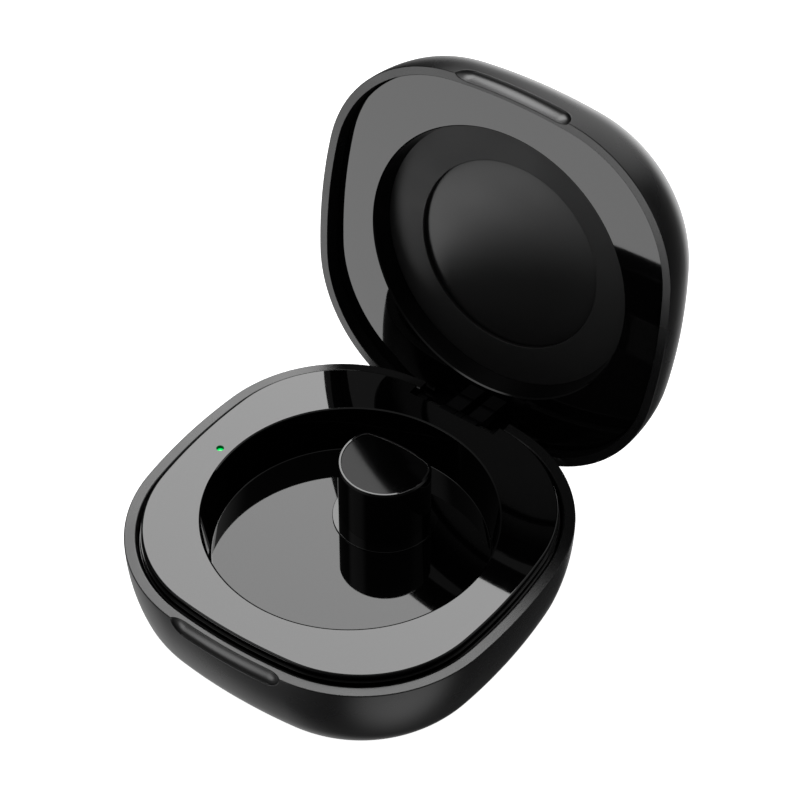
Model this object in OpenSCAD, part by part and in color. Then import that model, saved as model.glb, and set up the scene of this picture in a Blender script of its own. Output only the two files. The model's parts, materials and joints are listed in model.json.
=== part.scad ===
// Pocket charging case with a hinged lid: a rounded-square bowl, a glossy tray with a round well
// and a D-shaped charging post, and a matching lid that opens on a concealed pin hinge.
// Units are millimetres. The origin is the centre of the flat face that the case rests on,
// +Z is up and +Y points to the hinge. The lid is drawn open, at the end of its travel.

/* [Case] */
// Width and depth of the case at the seam
case_w = 60; // [58:0.5:64]
// Height of the base, from the table to its rim
base_h = 18; // [18:0.5:20]
// Height of the lid, from its rim to its top
lid_h = 13.5; // [13:0.5:15]
// Plan radius of the bowed sides
side_r = 83.4; // [75:0.1:90]
// Plan radius of the corners
corner_r = 22.2; // [21:0.1:24]
// Gap between the two rims when the lid is shut
seam = 0.15; // [0.1:0.05:0.3]

/* [Shell section] */
// Wall thickness of the base shell
base_wall = 1.9; // [1.7:0.1:2.1]
// Wall thickness of the lid shell
lid_wall = 1.4; // [1.2:0.1:1.6]
// Section radius of the base wall, from the rim down
base_side_r = 36; // [32:1:40]
// Section radius of the base wall, where it turns under
base_heel_r = 11; // [10:0.5:12]
// Section radius of the lid wall, from the rim up
lid_side_r = 22; // [20:1:26]
// Section radius of the lid wall, where it turns over
lid_heel_r = 11; // [10:0.5:12]

/* [Thumb notch] */
// Length of the finger scoop across the front
notch_l = 19; // [16:0.5:22]
// Height of the half of the scoop in each rim
notch_h = 2.3; // [1.8:0.1:2.6]
// Depth of the scoop
notch_d = 0.8; // [0.5:0.1:1]

/* [Tray and well] */
// Distance from the outside of the case to the edge of the raised deck
deck_inset = 2.55; // [2.4:0.05:2.8]
// Height of the deck above the base rim
deck_rise = 1.3; // [1.1:0.1:1.5]
// Radius of the well at the deck
well_r = 21.5; // [21:0.1:21.8]
// Radius of the well at its floor
well_floor_r = 20.4; // [20:0.1:20.6]
// Depth of the well below the deck
well_d = 7.4; // [7:0.1:7.5]

/* [Charging post] */
// Radius of the round front of the post
post_r = 6.9; // [6.5:0.1:7.2]
// Distance of the post's centre from the centre of the case
post_y = 8.5; // [8:0.1:9]
// Distance from the post's centre to its flatter back
post_back = 4.2; // [4:0.1:4.5]
// Height of the post above the well floor
post_h = 11.2; // [10.8:0.1:11.4]

/* [Lid lining] */
// Depth of the lid panel below the lid rim
panel_d = 2.1; // [2:0.1:2.3]
// Radius of the round recess in the panel
recess_r = 21.8; // [21.5:0.1:22]
// Depth of the recess below the panel
recess_d = 3.3; // [3:0.1:3.5]
// Radius of the soft dish in the recess
dish_r = 15.1; // [14:0.1:16]
// Depth of the dish below the floor of the recess
dish_d = 0.5; // [0.4:0.1:0.8]

/* [Hinge] */
// Distance of the hinge axis behind the centre of the case
hinge_y = 26.9; // [26.8:0.1:27]
// Distance of the hinge axis below the base rim
hinge_drop = 2.7; // [2.6:0.1:2.8]
// Angle through which the lid opens
open_angle = 99; // [90:1:100]
// Radius of the hinge pin
pin_r = 0.75; // [0.7:0.05:0.8]
// Half the width of the hinge window in the base
window_x = 7.6; // [7.4:0.1:7.8]

/* [Inside the base] */
// Length of the battery cell across the case
cell_x = 30; // [26:1:31]
// Width of the battery cell from front to back
cell_y = 26; // [22:1:27]
// Thickness of the battery cell
cell_t = 5.4; // [4.5:0.1:5.6]
// Radius of the circuit board
board_r = 24.6; // [24.4:0.1:24.8]
// Thickness of the circuit board
board_t = 0.8; // [0.8:0.1:1]

/* [Hidden] */
$fn = 96;
half_w = case_w / 2;
// Corner arcs are centred at (corner_c, corner_c) and touch the side arcs at side_a from the middle
bow = side_r - half_w;
arc_gap = side_r - corner_r;
corner_c = (sqrt(2 * arc_gap * arc_gap - bow * bow) - bow) / 2;
side_a = atan2(corner_c, corner_c + bow);
corner_steps = 16;
side_steps = 6;
side_step = 2 * side_a / side_steps;
heel_steps = 9;
wall_steps = 4;

rim_z = base_h;
lid_z = rim_z + seam;
deck_z = rim_z + deck_rise;
floor_z = deck_z - well_d;
post_top = floor_z + post_h;
hinge_z = rim_z - hinge_drop;
run_gap = 0.05;

// Tray: the moulding that carries the deck and the wall of the well
tray_t = 1.2;
well_t = 0.9;
skirt_z = rim_z - 1.1;
foot_h = 0.9;
step_w = 0.22;
step_h = 0.12;
ledge_z = skirt_z - foot_h;
foot_in = base_wall + 0.25;
floor_t = 0.9;
lip_t = 0.7;
lip_w = 1.5;
tray_foot_z = floor_z - floor_t - lip_t;
tray_back = 25.2;

// Post section
post_back_r = 26;
post_corner_r = 2.2;
post_wall = 1.9;
post_flange = 0.9;
flange_h = 0.25;
post_neck = -0.95;
cap_t = 0.4;
cap_seat = 0.5;

// Hinge
knuckle_r = 2.1;
lug_x = 7.4;
lug_w = 1.6;
centre_w = 1.2;
leg_in = 0.75;
leg_out = 3.3;
leg_y0 = 25.5;
leg_y1 = 27.3;
bush_r = 1.6;
bush_gap = 0.15;
bar_y0 = 23.2;
bar_y1 = 24.5;
bar_z0 = 12.9;
bar_z1 = 16.8;
ear_t = 1.2;
window_z = hinge_z - knuckle_r - 0.6;
relief_x = 9.8;
relief_h = 0.75;
relief_gap = 0.2;
relief_steps = 6;

// Lid lining
panel_in = lid_wall + 0.3;
panel_z = lid_z + panel_d;
panel_t = 1.1;
recess_z = panel_z + recess_d;
recess_wall = 1;
recess_foot_r = recess_r - 0.7;
panel_back = panel_z + panel_t;
dish_z = recess_z + dish_d;
pad_t = 1.2;
pad_lap = 1.4;
plate_z = panel_back + 0.65;
plate_t = 1.2;
plate_y0 = 23.4;
plate_x = 7.4;

// Inside the base
foam_t = 0.5;
cell_z = base_wall + foam_t;
cell_c = -3;
board_z = 8.7;
board_top = board_z + board_t;
usb_w = 8.94;
usb_h = 3.2;
usb_y0 = 20;
usb_y1 = 27.2;
usb_z = board_z - usb_h / 2;
lens_x = -23.4;
lens_y = -0.5;
lens_r = 0.55;
led_h = 0.6;
screw_r = 0.7;
boss_r = 1.7;
board_screws_at = [[18.6, 7], [18.6, -8], [-18.6, 7], [-18.6, -8]];
lid_screws_at = [[5.8, 24.9], [-5.8, 24.9]];
bracket_screws_at = [[10.9, 24.2], [-10.9, 24.2]];
lid_boss_r = 1.5;
magnets_at = [[11, -23.6], [-11, -23.6]];
magnet_r = 1.7;
magnet_h = 2;
hall_at = [23.2, -5];
coil_y = post_y - 1.35;
coil_r = 3.4;
coil_hole_r = 1.65;
coil_h = 6;
core_z = floor_z + 1.2;
core_plate_t = 0.8;

black_soft = [0.05, 0.05, 0.052];
black_gloss = [0.02, 0.02, 0.022];
steel = [0.7, 0.71, 0.73];

// ---- plan outline -------------------------------------------------------------------------

// Points of an arc from angle a to angle b about c, in n steps
function arc(c, r, a, b, n) = [for (k = [0 : n]) c + r * [cos(a + (b - a) * k / n), sin(a + (b - a) * k / n)]];

// One corner of the rounded square and the bowed side after it, drawn in by inset
function quarter(inset) = concat(
    arc([corner_c, corner_c], corner_r - inset, side_a, 90 - side_a, corner_steps),
    arc([0, -bow], side_r - inset, 90 - side_a + side_step, 90 + side_a - side_step, side_steps - 2));

function turned(points, a) = [for (p = points) [p[0] * cos(a) - p[1] * sin(a), p[0] * sin(a) + p[1] * cos(a)]];

// The rounded square, drawn in from the outside of the case by inset
module outline(inset) {
    polygon([for (k = [0:3]) each turned(quarter(inset), 90 * k)]);
}

module slab(inset, z0, z1) {
    translate([0, 0, z0]) linear_extrude(z1 - z0) outline(inset);
}

// ---- swept shell --------------------------------------------------------------------------

// Section of a filled bowl standing on z = inset: an arc down from the rim, then a tighter heel.
// The bowl carries on straight up for over above its rim.
module bowl_section(r, inset, h, side, heel, over) {
    turn = asin((h - heel) / (side - heel));
    c1 = [r - side, h];
    c2 = c1 + (side - heel) * [cos(turn), -sin(turn)];
    polygon(concat(
        [[c2[0] - 1, h + over], [c2[0] - 1, inset]],
        [for (a = [90 : -(90 - turn) / heel_steps : turn]) c2 + (heel - inset) * [cos(a), -sin(a)]],
        [for (k = [wall_steps - 1 : -1 : 0])
            c1 + (side - inset) * [cos(turn * k / wall_steps), -sin(turn * k / wall_steps)]],
        over > 0 ? [[r - inset, h + over]] : []));
}

// The filled bowl, as the hull of its four corners and its four bowed sides
module bowl(inset, h, side, heel, over = 0) {
    hull() for (k = [0:3]) rotate(90 * k) {
        translate([0, -bow]) rotate(90 - side_a)
            rotate_extrude(angle = 2 * side_a, $fn = ceil(180 * (side_steps + 0.5) / side_a))
                bowl_section(side_r, inset, h, side, heel, over);
        translate([corner_c, corner_c]) rotate(side_a)
            rotate_extrude(angle = 90 - 2 * side_a, $fn = ceil(360 * (corner_steps + 0.5) / (90 - 2 * side_a)))
                bowl_section(corner_r, inset, h, side, heel, over);
    }
}

// Turns the lid from shut to open about the hinge axis
module opened() {
    translate([0, hinge_y, hinge_z]) rotate([-open_angle, 0, 0])
        translate([0, -hinge_y, -hinge_z]) children();
}

// Finger scoop across the front: a rounded slot of even depth that follows the bowed side,
// centred on the seam
module notch() {
    end = notch_h;
    groove_r = (notch_d * notch_d + notch_h * notch_h) / (2 * notch_d);
    translate([0, 0, rim_z + seam / 2]) intersection() {
        translate([0, -half_w + notch_d + 1, 0]) rotate([90, 0, 0])
            linear_extrude(notch_d + 3) union() {
                square([notch_l - 2 * end, 2 * end], center = true);
                for (s = [-1, 1]) translate([s * (notch_l / 2 - end), 0]) circle(end);
            }
        translate([0, bow, 0]) rotate(-90 - side_a) rotate_extrude(angle = 2 * side_a, $fn = 360)
            translate([side_r - notch_d + groove_r, 0]) circle(groove_r, $fn = 96);
    }
}

// A rod along X between x0 and x1
module rod_x(x0, x1, y, z, r) {
    translate([x0, y, z]) rotate([0, 90, 0]) cylinder(r = r, h = x1 - x0);
}

// ---- base ---------------------------------------------------------------------------------

module base_shell() color(black_soft) difference() {
    union() {
        difference() {
            bowl(0, base_h, base_side_r, base_heel_r);
            bowl(base_wall, base_h, base_side_r, base_heel_r, 1);
        }
        // Ledge that the tray stands on
        difference() {
            slab(base_wall - 0.4, ledge_z - 1.2, ledge_z);
            slab(base_wall + 1.6, ledge_z - 2, ledge_z + 1);
        }
        for (p = board_screws_at) translate([p[0], p[1], base_wall - 0.5])
            cylinder(r = boss_r, h = board_z - base_wall + 0.5);
        for (p = bracket_screws_at) translate([p[0], p[1], 4.5])
            cylinder(r = boss_r, h = bar_z0 - 4.5);
    }
    for (p = board_screws_at) translate([p[0], p[1], board_z - 4]) cylinder(r = screw_r, h = 8);
    for (p = bracket_screws_at) translate([p[0], p[1], bar_z0 - 4]) cylinder(r = screw_r, h = 8);
    notch();
    // Hinge window
    translate([-window_x, tray_back, window_z]) cube([2 * window_x, 10, 20]);
    // Socket opening
    translate([0, usb_y0, usb_z]) rotate([-90, 0, 0]) linear_extrude(20) socket_outline(0.3);
}

// Rounded slot of the charging socket, grown by gap all round
module socket_outline(gap) {
    r = usb_h / 2 + gap;
    square([usb_w - usb_h, 2 * r], center = true);
    for (s = [-1, 1]) translate([s * (usb_w - usb_h) / 2, 0]) circle(r);
}

// Outside of the well's wall
module well_body() {
    translate([0, 0, tray_foot_z])
        cylinder(r1 = well_floor_r + well_t, r2 = well_r + well_t, h = deck_z - tray_foot_z);
}

module cradle_tray() color(black_gloss) difference() {
    union() {
        difference() {
            union() {
                slab(deck_inset, skirt_z, deck_z);
                slab(deck_inset - step_w, skirt_z, rim_z + step_h);
                slab(foot_in, ledge_z, skirt_z + 0.3);
            }
            slab(deck_inset + tray_t, ledge_z - 1, deck_z - tray_t);
        }
        well_body();
    }
    // The well, its chamfered mouth, the seat of its floor and the lip under that
    translate([0, 0, floor_z]) cylinder(r1 = well_floor_r, r2 = well_r, h = well_d);
    translate([0, 0, deck_z - 0.2]) cylinder(r1 = well_r - 0.01, r2 = well_r + 0.39, h = 0.4);
    translate([0, 0, floor_z - floor_t]) cylinder(r = well_floor_r, h = floor_t + 0.1);
    translate([0, 0, tray_foot_z - 1]) cylinder(r = well_floor_r - lip_w, h = 4);
    translate([lens_x, lens_y, ledge_z]) cylinder(r = lens_r + run_gap, h = 10);
    // Straight back edge at the hinge
    translate([-window_x, tray_back, ledge_z - 1]) cube([2 * window_x, 10, 10]);
}

// D outline of the post: a round front and a slightly bowed back, joined by small arcs
module post_outline(grow) {
    r = post_r + grow;
    small = post_corner_r + grow;
    back_r = post_back_r + grow;
    drop = post_back_r - post_back;
    da = post_r - post_corner_r;
    db = post_back_r - post_corner_r;
    qy = (db * db - da * da - drop * drop) / (2 * drop);
    qx = sqrt(da * da - qy * qy);
    a1 = atan2(qy, qx);
    a2 = atan2(qy + drop, qx);
    polygon(concat(
        arc([0, 0], r, -180 - a1, a1, 40),
        arc([qx, qy], small, a1, a2, 8),
        arc([0, -drop], back_r, a2, 180 - a2, 8),
        arc([-qx, qy], small, 180 - a2, 180 - a1, 8)));
}

module post_slab(grow, z0, z1) {
    translate([0, post_y, z0]) linear_extrude(z1 - z0) post_outline(grow);
}

module well_floor() color(black_gloss) difference() {
    translate([0, 0, floor_z - floor_t]) cylinder(r = well_floor_r - 0.02, h = floor_t);
    post_slab(post_neck + run_gap, floor_z - 2, floor_z + 2);
}

module charging_post() color(black_gloss) difference() {
    union() {
        post_slab(0, floor_z, post_top - 0.25);
        post_slab(-0.25, floor_z + 1, post_top);
        post_slab(post_flange, floor_z, floor_z + flange_h);
        post_slab(post_neck, floor_z - floor_t - 0.3, floor_z + 1);
    }
    post_slab(-post_wall, floor_z - 3, post_top - 1);
    post_slab(-0.55, post_top - cap_seat, post_top + 1);
}

// Cap with a shallow dish
module post_cap() color(black_gloss) difference() {
    post_slab(-0.6, post_top - cap_seat, post_top - cap_seat + cap_t);
    translate([0, post_y - 0.9, post_top - cap_seat + cap_t / 2])
        cylinder(r1 = 1, r2 = 5, h = cap_t / 2 + 0.001);
}

module status_lens() color([0.3, 1, 0.5]) translate([lens_x, lens_y, 0]) {
    z0 = board_top + led_h + 0.1;
    translate([0, 0, z0]) cylinder(r = lens_r, h = deck_z - 0.25 - z0);
    translate([0, 0, deck_z - tray_t - 0.8]) cylinder(r = lens_r + 0.25, h = 0.75);
}

module status_led() color([0.95, 0.95, 0.85]) translate([lens_x - 0.5, lens_y - 0.3, board_top])
    cube([1, 0.6, led_h]);

module main_board() color([0.02, 0.25, 0.12]) difference() {
    translate([0, 0, board_z]) linear_extrude(board_t) union() {
        circle(board_r);
        translate([-6, 0]) square([12, 26.2]);
    }
    for (p = board_screws_at) translate([p[0], p[1], board_z - 1]) cylinder(r = screw_r + 0.2, h = 4);
}

module board_chips() color([0.1, 0.1, 0.11]) {
    translate([-9, -8, board_top]) cube([5, 5, 0.9]);
    translate([3, -12, board_top]) cube([4, 4, 0.8]);
    translate([8, 10, board_top]) cube([3, 3, 0.9]);
    translate([-12, 9, board_top]) cube([4, 4, 0.9]);
}

// Pouch cell: a block with thinner folded edges on its two sides
module battery_cell() color([0.72, 0.74, 0.77]) translate([0, cell_c, cell_z]) {
    fold = 1.5;
    translate([-cell_x / 2 + fold, -cell_y / 2, 0]) cube([cell_x - 2 * fold, cell_y, cell_t]);
    translate([-cell_x / 2, -cell_y / 2, 0.9]) cube([cell_x, cell_y, cell_t - 1.8]);
}

module battery_foam() color([0.2, 0.2, 0.2])
    translate([-cell_x / 2 + 2, cell_c - cell_y / 2 + 1, base_wall]) cube([cell_x - 4, cell_y - 2, foam_t]);

module charge_coil() color([0.8, 0.42, 0.2]) difference() {
    translate([0, coil_y, core_z + core_plate_t]) cylinder(r = coil_r, h = coil_h);
    translate([0, coil_y, core_z]) cylinder(r = coil_hole_r, h = coil_h + 4);
}

module coil_core() color([0.22, 0.22, 0.24]) translate([0, coil_y, core_z]) {
    cylinder(r = coil_hole_r - 0.05, h = core_plate_t + coil_h + 0.3);
    cylinder(r = coil_r + 0.1, h = core_plate_t);
}

// Flexible tail from the coil down to the board
module coil_flex() color([0.75, 0.45, 0.1]) {
    z = [board_top, core_z];
    t = 0.2;
    translate([-1.5, coil_y - 2.9, z[0]]) cube([3, t, z[1] - z[0]]);
    translate([-1.5, coil_y - 2.9, z[0]]) cube([3, 2, t]);
    translate([-1.5, coil_y - 2.9, z[1] - t]) cube([3, 2, t]);
}

module usb_socket() color(steel) difference() {
    translate([0, usb_y0, usb_z]) rotate([-90, 0, 0]) linear_extrude(usb_y1 - usb_y0) socket_outline(0);
    difference() {
        translate([0, usb_y0 + 1.2, usb_z]) rotate([-90, 0, 0]) linear_extrude(10) socket_outline(-0.3);
        translate([-3.3, usb_y0, usb_z - 0.35]) cube([6.6, usb_y1 - usb_y0 - 0.8, 0.7]);
    }
}

module hall_sensor() color([0.08, 0.08, 0.08])
    translate([hall_at[0] - 0.8, hall_at[1] - 1.4, board_top]) cube([1.6, 2.8, 0.9]);

module base_magnets() color(steel)
    for (p = magnets_at) translate([p[0], p[1], deck_z - tray_t - magnet_h])
        cylinder(r = magnet_r, h = magnet_h);

// A pan-head screw: head standing on z = 0, thread going down
module screw(length, head_r = 1.25, head_h = 0.6) {
    difference() {
        cylinder(r = head_r, h = head_h);
        for (a = [0, 90]) rotate(a) translate([-0.7, -0.13, head_h - 0.25]) cube([1.4, 0.26, 1]);
    }
    translate([0, 0, -length]) cylinder(r = screw_r - 0.01, h = length + 0.1);
}

module board_screws() color(steel)
    for (p = board_screws_at) translate([p[0], p[1], board_top]) screw(3.6);

// ---- hinge --------------------------------------------------------------------------------

// One lug of the bracket, w thick, centred on x = 0
module lug(w) {
    rod_x(-w / 2, w / 2, hinge_y, hinge_z, knuckle_r);
    translate([-w / 2, bar_y0, hinge_z - knuckle_r]) cube([w, hinge_y - bar_y0, knuckle_r]);
}

// Bracket: a bar with two outer lugs, a thin centre lug and two screw ears
module hinge_bracket() color([0.16, 0.16, 0.17]) difference() {
    union() {
        translate([-lug_x, bar_y0, bar_z0]) cube([2 * lug_x, bar_y1 - bar_y0, bar_z1 - bar_z0]);
        for (s = [-1, 1]) translate([s * (lug_x - lug_w / 2), 0, 0]) lug(lug_w);
        lug(centre_w);
        for (p = bracket_screws_at) {
            translate([p[0], p[1], bar_z0]) cylinder(r = 1.7, h = ear_t);
            translate([min(p[0], sign(p[0]) * (lug_x - 1)), bar_y0, bar_z0])
                cube([abs(p[0]) - lug_x + 1, bar_y1 - bar_y0, ear_t]);
        }
    }
    rod_x(-20, 20, hinge_y, hinge_z, pin_r + 0.01);
    for (p = bracket_screws_at) translate([p[0], p[1], bar_z0 - 1]) cylinder(r = screw_r + 0.1, h = 5);
}

module bracket_screws() color(steel)
    for (p = bracket_screws_at) translate([p[0], p[1], bar_z0 + ear_t]) screw(3.8);

module hinge_pin() color(steel) rod_x(-lug_x, lug_x, hinge_y, hinge_z, pin_r);

// Plastic bushes that keep the lid central between the outer lugs
module hinge_bushes() color([0.85, 0.85, 0.82]) for (s = [0, 1]) mirror([s, 0, 0]) difference() {
    rod_x(leg_out + bush_gap, lug_x - lug_w - 0.02, hinge_y, hinge_z, bush_r);
    rod_x(0, 20, hinge_y, hinge_z, pin_r + 0.02);
}

// ---- lid, drawn shut and then opened ------------------------------------------------------

module lid_arm() color([0.16, 0.16, 0.17]) opened() difference() {
    union() {
        for (s = [0, 1]) mirror([s, 0, 0]) {
            rod_x(leg_in, leg_out, hinge_y, hinge_z, knuckle_r);
            translate([leg_in, leg_y0, hinge_z])
                cube([leg_out - leg_in, leg_y1 - leg_y0, plate_z + plate_t - hinge_z]);
        }
        translate([-plate_x, plate_y0, plate_z]) cube([2 * plate_x, leg_y1 - plate_y0, plate_t]);
    }
    rod_x(-20, 20, hinge_y, hinge_z, pin_r + run_gap);
    for (p = lid_screws_at) translate([p[0], p[1], plate_z - 1]) cylinder(r = screw_r + 0.1, h = 4);
}

module lid_arm_screws() color(steel) opened()
    for (p = lid_screws_at) translate([p[0], p[1], plate_z]) mirror([0, 0, 1]) screw(3.6);

module lid_bowl(inset, over) {
    translate([0, 0, lid_z + lid_h]) mirror([0, 0, 1]) bowl(inset, lid_h, lid_side_r, lid_heel_r, over);
}

// Half depth of the case at x from its middle
function edge_y(x) = x < side_r * sin(side_a)
    ? sqrt(side_r * side_r - x * x) - bow
    : corner_c + sqrt(corner_r * corner_r - pow(x - corner_c, 2));

// Barrel about the hinge axis that clears the rim of the base at every angle of the lid
module swing() {
    end = corner_c + sqrt(corner_r * corner_r - pow(hinge_y - corner_c, 2));
    xs = [for (k = [-relief_steps : relief_steps]) end * k / relief_steps];
    translate([0, hinge_y, hinge_z]) rotate([0, 90, 0]) rotate_extrude() polygon(concat(
        [[0, -end]],
        [for (x = xs) [norm([max(edge_y(abs(x)) - hinge_y, 0), hinge_drop]) + relief_gap, x]],
        [[0, end]]));
}

module lid_shell() color(black_soft) opened() difference() {
    union() {
        difference() {
            lid_bowl(0, 0);
            lid_bowl(lid_wall, 1);
        }
        // Ledge that the panel rests against
        difference() {
            slab(lid_wall - 0.3, panel_back, panel_back + 1);
            slab(lid_wall + 1.2, panel_back - 1, panel_back + 2);
        }
        for (p = lid_screws_at) translate([p[0], p[1], plate_z + plate_t])
            cylinder(r = lid_boss_r, h = 4.4);
    }
    for (p = lid_screws_at) translate([p[0], p[1], plate_z]) cylinder(r = screw_r, h = plate_t + 3.4);
    notch();
    // Room at the back for the hinge and for the base's rim as the lid swings and when it is open
    swing();
    translate([-relief_x, tray_back, lid_z - 1]) cube([2 * relief_x, 10, 1 + relief_h]);
    translate([-window_x, tray_back, panel_back - 1]) cube([2 * window_x, leg_y1 + 0.2 - tray_back, 3]);
}

// Opening of the panel and the recess behind it, tapering inwards
module recess_cone() {
    translate([0, 0, panel_z]) cylinder(r1 = recess_r, r2 = recess_foot_r, h = recess_d);
}

module lid_panel() color(black_gloss) opened() difference() {
    slab(panel_in, panel_z, panel_back);
    recess_cone();
    translate([0, 0, panel_z - 0.2]) cylinder(r1 = recess_r + 0.39, r2 = recess_r - 0.01, h = 0.4);
    translate([-window_x, tray_back, panel_z - 1]) cube([2 * window_x, 10, 4]);
}

// Wall and ring floor of the round recess
module lid_recess() color([0.06, 0.06, 0.062]) opened() difference() {
    translate([0, 0, panel_back]) cylinder(r = recess_r + recess_wall, h = recess_z + dish_d - panel_back);
    recess_cone();
    translate([0, 0, panel_z]) cylinder(r = dish_r, h = 20);
}

// Soft pad that shows as a dish through the ring floor
module lid_pad() color([0.12, 0.12, 0.12]) opened()
    translate([0, 0, dish_z]) cylinder(r = dish_r + pad_lap, h = pad_t);

module lid_magnets() color(steel) opened()
    for (p = magnets_at) translate([p[0], p[1], panel_back]) cylinder(r = magnet_r, h = magnet_h);

module hall_magnet() color(steel) opened()
    translate([hall_at[0] + 1.1, hall_at[1], panel_back]) cylinder(r = 1.2, h = 1);

base_shell();
cradle_tray();
well_floor();
charging_post();
post_cap();
status_lens();
status_led();
main_board();
board_chips();
battery_cell();
battery_foam();
charge_coil();
coil_core();
coil_flex();
usb_socket();
hall_sensor();
base_magnets();
hinge_bracket();
hinge_pin();
hinge_bushes();
bracket_screws();
board_screws();
lid_shell();
lid_panel();
lid_recess();
lid_pad();
lid_magnets();
hall_magnet();
lid_arm();
lid_arm_screws();
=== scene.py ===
"""Looks of the hinged charging case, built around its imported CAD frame. Lengths are in metres."""

import json
import math

import bmesh
import bpy
import numpy as np
from mathutils import Matrix, Vector


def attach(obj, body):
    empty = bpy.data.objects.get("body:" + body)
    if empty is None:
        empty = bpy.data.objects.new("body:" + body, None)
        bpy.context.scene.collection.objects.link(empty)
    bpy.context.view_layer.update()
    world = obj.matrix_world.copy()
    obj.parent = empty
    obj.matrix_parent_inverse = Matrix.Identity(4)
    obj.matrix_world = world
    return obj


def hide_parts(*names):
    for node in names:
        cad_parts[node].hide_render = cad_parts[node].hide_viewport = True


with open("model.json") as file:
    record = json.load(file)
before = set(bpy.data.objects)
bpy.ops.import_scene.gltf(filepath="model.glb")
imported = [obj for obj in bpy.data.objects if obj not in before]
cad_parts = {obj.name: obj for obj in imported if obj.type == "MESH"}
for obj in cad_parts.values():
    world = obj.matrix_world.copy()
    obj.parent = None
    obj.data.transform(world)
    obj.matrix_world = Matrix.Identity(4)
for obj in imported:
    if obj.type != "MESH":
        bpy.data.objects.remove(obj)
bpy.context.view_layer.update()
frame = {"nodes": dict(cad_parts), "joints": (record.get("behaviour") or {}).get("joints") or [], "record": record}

MM = 0.001

# ---- sizes taken from the frame ---------------------------------------------------------------

hinge = frame["joints"][0]
hinge_at = Vector(hinge["pos_m"])
shut_angle = math.radians(hinge["range_deg"][1])
TO_SHUT = (Matrix.Translation(hinge_at) @ Matrix.Rotation(shut_angle, 4, "X")
           @ Matrix.Translation(-hinge_at))
TO_OPEN = TO_SHUT.inverted()


def moved(points, matrix):
    """Points after a 4 by 4 matrix."""
    m = np.array(matrix)
    return points @ m[:3, :3].T + m[:3, 3]


def cad_points(node, shut=False):
    """Vertices of a CAD node in mm, with the lid turned shut if asked."""
    co = np.array([v.co for v in frame["nodes"][node].data.vertices], float)
    return (moved(co, TO_SHUT) if shut else co) / MM


def at_level(points, z, tol=0.02):
    """The points within tol of height z, in mm."""
    return points[np.abs(points[:, 2] - z) < tol]


shell = cad_points("base_shell")
HALF = shell[:, 0].max()
RIM_Z = shell[:, 2].max()
tray = cad_points("cradle_tray")
DECK_Z = tray[:, 2].max()
deck_level = at_level(tray, DECK_Z)
DECK_IN = HALF - deck_level[:, 0].max()
floor_disc = cad_points("well_floor")
FLOOR_Z = floor_disc[:, 2].max()
FLOOR_R = floor_disc[:, 0].max()
WELL_FOOT_Z = tray[:, 2].min() if tray[:, 2].min() < FLOOR_Z else FLOOR_Z
post = cad_points("charging_post")
POST_TOP = post[:, 2].max()
lid_cad = cad_points("lid_shell", shut=True)
LID_Z = lid_cad[:, 2].min()
LID_TOP = lid_cad[:, 2].max()
panel = cad_points("lid_panel", shut=True)
PANEL_Z = panel[:, 2].min()
PANEL_BACK = panel[:, 2].max()
PANEL_IN = HALF - at_level(panel, PANEL_Z)[:, 0].max()
recess = cad_points("lid_recess", shut=True)
pad_cad = cad_points("lid_pad", shut=True)
DISH_Z = pad_cad[:, 2].min()
PAD_BACK = pad_cad[:, 2].max()
lens_cad = cad_points("status_lens")
LENS_X, LENS_Y = lens_cad[:, :2].mean(axis=0)
window = at_level(shell, RIM_Z)
window = window[window[:, 1] > 0.8 * HALF]  # only the back wall, where the hinge window is
WINDOW_X = np.abs(window[:, 0]).min()

# ---- sizes of the design, in mm ----------------------------------------------------------------

# Plan outline: bowed sides and corner arcs
SIDE_R = 83.4
CORNER_R = 22.2
# Shells: wall, side arc, heel arc, and the rounding of the rim outside and inside
BASE_WALL, BASE_SIDE_R, BASE_HEEL_R, BASE_RIM_R, BASE_INNER_R = 1.9, 36.0, 11.0, 0.12, 0.45
LID_WALL, LID_SIDE_R, LID_HEEL_R, LID_RIM_R, LID_INNER_R = 1.4, 22.0, 11.0, 0.1, 0.12
SHELL_FRONT_STEPS = 240
NOTCH_HALF, NOTCH_H, NOTCH_D, NOTCH_POWER = 9.5, 2.3, 0.8, 0.6
# Depths below the rim where the outside is stepped finely, and where the plain section takes over
FINE_LEVELS = list(np.arange(0.12, 2.5, 0.07)) + [2.7, 2.9, 3.1]
FINE_DEPTH = 3.3
# Least flat width of the rim before and at its inner rounding, where the thumb scoop cuts in
RIM_FLAT, RIM_LIP = 0.04, 0.05
RIM_STEPS, INNER_STEPS = 5, 8
EDGE_SUPPORT = 0.03
DISC_SHARES = (0.97, 0.85, 0.6, 0.3, 0.0)
# Well, its floor, and the thicknesses of the tray
WELL_R, WELL_FLOOR_R, WELL_TOE = 21.5, 20.4, 0.2
FLOOR_T, TRAY_WALL, DECK_T = 0.9, 0.9, 1.2
PROUD = 0.005  # how far a moulding stands above the floor that it meets
# Recess of the lid
RECESS_R, RECESS_FOOT_R, RECESS_D, DISH_R = 21.8, 21.1, 3.3, 15.1
PANEL_CHAMFER, OPENING_CHAMFER, SKIRT_GAP = 0.12, 0.19, 0.13
PAD_EDGE, PAD_CROWN = 0.75, 0.3
# Post and its cap
POST_FLANGE, POST_FLANGE_H = 0.9, 0.22
POST_Y = post[:, 1].min() + post[:, 0].max()
POST_R = post[:, 0].max() - POST_FLANGE
POST_BACK, POST_BACK_R, POST_CORNER_R = 4.2, 26.0, 2.2
POST_NECK, POST_SEAT, POST_FOOT_T = -0.9, -1.9, 0.6
CAP_IN, CAP_SINK, CAP_T, CAP_GAP, CAP_DISH = 0.55, 0.12, 0.5, 0.03, 0.03
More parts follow.
